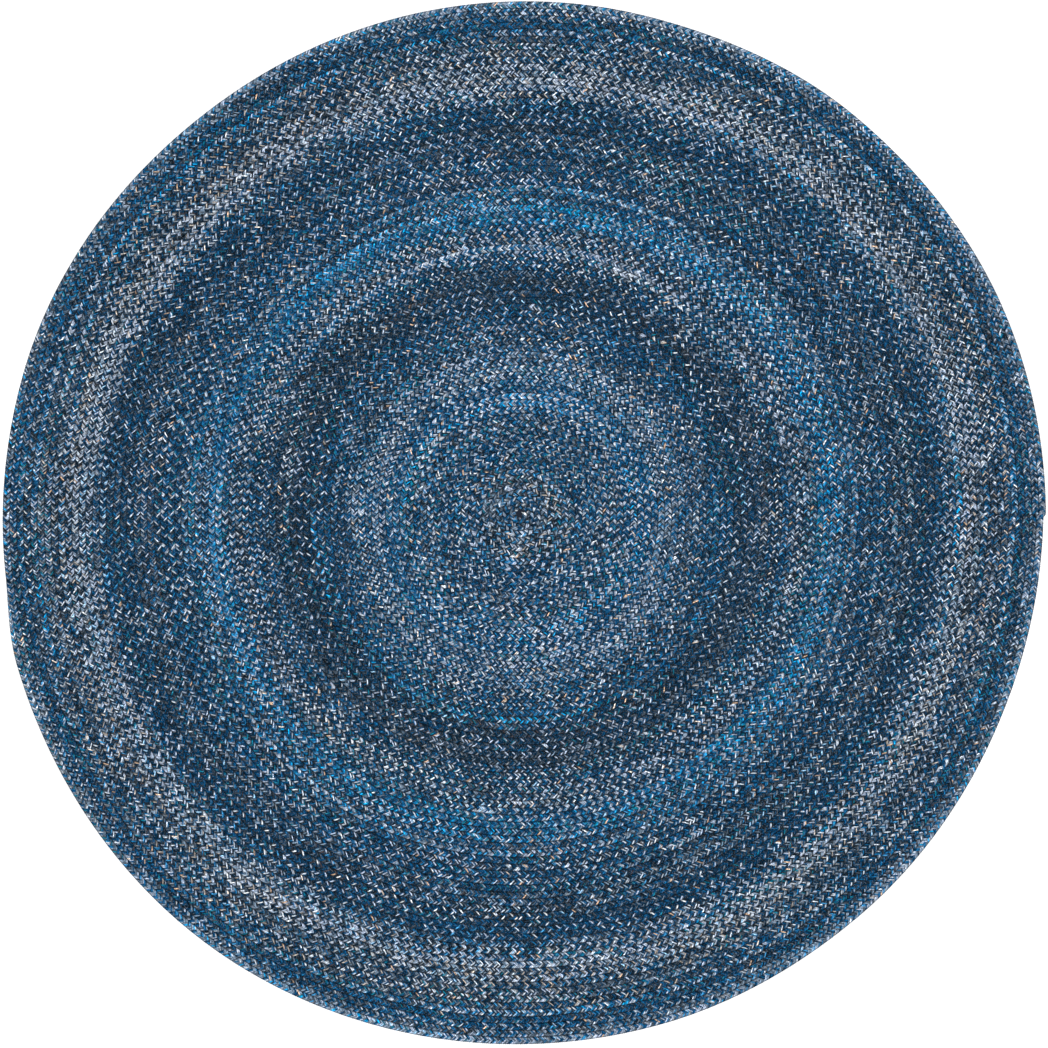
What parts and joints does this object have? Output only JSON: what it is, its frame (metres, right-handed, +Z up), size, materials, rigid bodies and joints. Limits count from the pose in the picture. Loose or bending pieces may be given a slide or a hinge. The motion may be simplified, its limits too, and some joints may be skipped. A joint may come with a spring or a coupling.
{
  "type": "round braided rug",
  "caption": "Flat round rug made of one narrow three-strand braid of blue, grey and charcoal yarns, coiled from the middle and sewn edge to edge.",
  "frame": {"origin": "middle of the underside, at the centre of the rug's bounding box", "axes": "+Z up out of the face that is walked on; X and Y lie in the floor"},
  "size_m": [1.819, 1.8228, 0.007],
  "materials": {
    "braided_yarn": "matte heathered yarn in mixed blues, greys and charcoal, plaited flat"
  },
  "bodies": {
    "root": {"braided_rug": "braided_yarn"}
  },
  "joints": []
}
